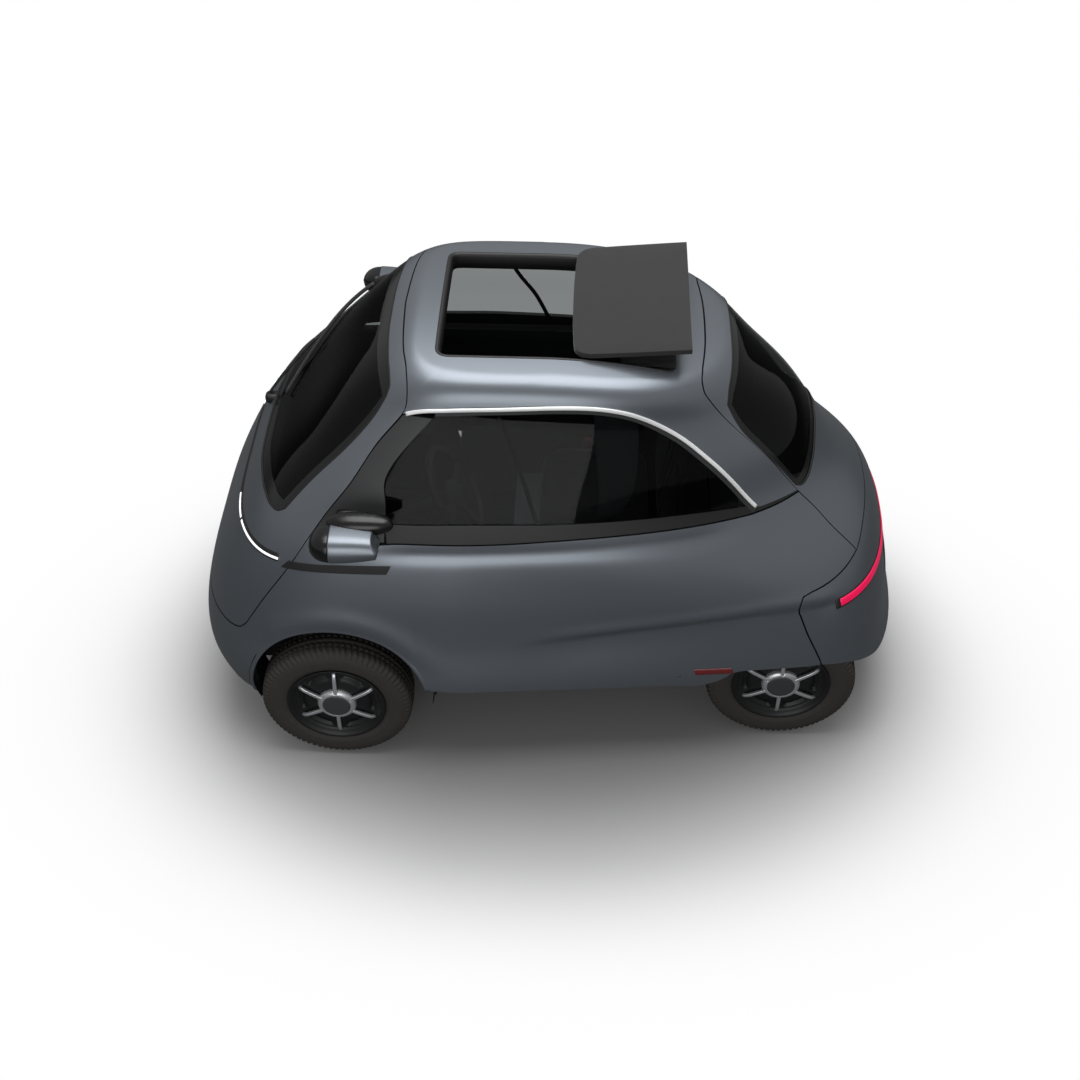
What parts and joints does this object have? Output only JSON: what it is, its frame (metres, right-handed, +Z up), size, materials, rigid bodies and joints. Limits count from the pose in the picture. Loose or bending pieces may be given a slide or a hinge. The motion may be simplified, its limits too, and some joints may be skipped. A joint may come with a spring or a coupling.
{
  "type": "microcar with a front door",
  "caption": "Small egg-shaped two-seat car with a front-opening door that carries the windscreen, a tailgate and a folding roof.",
  "frame": {"origin": "centre of the footprint on the ground", "axes": "+X to the car's left, +Y towards its tail, +Z up; the nose points along -Y"},
  "size_m": [1.608, 2.506, 1.5459],
  "materials": {
    "body_paint": "satin",
    "black_trim": "matt",
    "canopy_cloth": "matt",
    "tinted_glass": "clear",
    "bright_metal": "polished",
    "lamp_red": "gloss",
    "lamp_clear": "smoked",
    "light_guide": "gloss",
    "tyre_rubber": "matt",
    "wheel_silver": "satin",
    "seat_fabric": "matt",
    "lining": "matt",
    "floor_steel": "satin",
    "chassis_steel": "satin",
    "battery_case": "matt"
  },
  "bodies": {
    "car_body": {"battery_pack": "battery_case", "bright_strips": "bright_metal", "canopy_folds": "canopy_cloth", "canopy_panel": "canopy_cloth", "drive_motor": "battery_case", "fender_trims": "black_trim", "floor_pan": "floor_steel", "front_bumper": "body_paint", "front_suspension": "chassis_steel", "lamp_lenses": "lamp_clear", "lamp_pods": "body_paint", "left_side_panel": "body_paint", "luggage_shelf": "lining", "mirror_arms": "body_paint", "plate_holder": "black_trim", "rear_bumper": "body_paint", "rear_lamps": "lamp_red", "rear_suspension": "chassis_steel", "right_side_panel": "body_paint", "roof_shell": "body_paint", "seat_back": "seat_fabric", "seat_base": "seat_fabric", "side_windows": "tinted_glass", "steering_column": "lining", "steering_rack": "chassis_steel", "sunroof_frame": "black_trim", "wheel_housings": "black_trim", "window_trims": "black_trim"},
    "front_door": {"door_shell": "body_paint", "windscreen": "tinted_glass", "door_lining": "lining", "light_bar": "light_guide"},
    "tailgate": {"tailgate_shell": "body_paint", "rear_glass": "tinted_glass"},
    "left_hub": {"left_knuckle": "chassis_steel"},
    "right_hub": {"right_knuckle": "chassis_steel"},
    "steering": {"steering_wheel": "lining"},
    "front_left_road_wheel": {"front_left_tyre": "tyre_rubber", "front_left_wheel": "wheel_silver"},
    "front_right_road_wheel": {"front_right_tyre": "tyre_rubber", "front_right_wheel": "wheel_silver"},
    "rear_left_road_wheel": {"rear_left_tyre": "tyre_rubber", "rear_left_wheel": "wheel_silver"},
    "rear_right_road_wheel": {"rear_right_tyre": "tyre_rubber", "rear_right_wheel": "wheel_silver"}
  },
  "joints": [
    {"name": "front_door_hinge", "type": "hinge", "parent": "car_body", "child": "front_door", "pos_m": [0.645, -0.925, 0.6], "axis": [0, 0, 1], "range_deg": [0, 75]},
    {"name": "tailgate_hinge", "type": "hinge", "parent": "car_body", "child": "tailgate", "pos_m": [0, 0.482, 1.442], "axis": [1, 0, 0], "range_deg": [0, 75]},
    {"name": "left_steer", "type": "hinge", "parent": "car_body", "child": "left_hub", "pos_m": [0.615, -0.735, 0.2665], "axis": [0, 0, 1], "range_deg": [-30, 30]},
    {"name": "right_steer", "type": "hinge", "parent": "car_body", "child": "right_hub", "pos_m": [-0.615, -0.735, 0.2665], "axis": [0, 0, 1], "range_deg": [-30, 30]},
    {"name": "steering_wheel_turn", "type": "hinge", "parent": "car_body", "child": "steering", "pos_m": [0.235, -0.33, 0.85], "axis": [0, 0.866, 0.5], "range_deg": [-425, 425]},
    {"name": "front_left_spin", "type": "hinge", "parent": "left_hub", "child": "front_left_road_wheel", "pos_m": [0.65, -0.735, 0.2665], "axis": [1, 0, 0], "continuous": true},
    {"name": "front_right_spin", "type": "hinge", "parent": "right_hub", "child": "front_right_road_wheel", "pos_m": [-0.65, -0.735, 0.2665], "axis": [1, 0, 0], "continuous": true},
    {"name": "rear_left_spin", "type": "hinge", "parent": "car_body", "child": "rear_left_road_wheel", "pos_m": [0.5, 0.835, 0.2665], "axis": [1, 0, 0], "continuous": true},
    {"name": "rear_right_spin", "type": "hinge", "parent": "car_body", "child": "rear_right_road_wheel", "pos_m": [-0.5, 0.835, 0.2665], "axis": [1, 0, 0], "continuous": true}
  ],
  "couplings": [
    {"joint": "right_steer", "follows": "left_steer", "ratio": 1},
    {"joint": "steering_wheel_turn", "follows": "left_steer", "ratio": 14}
  ]
}
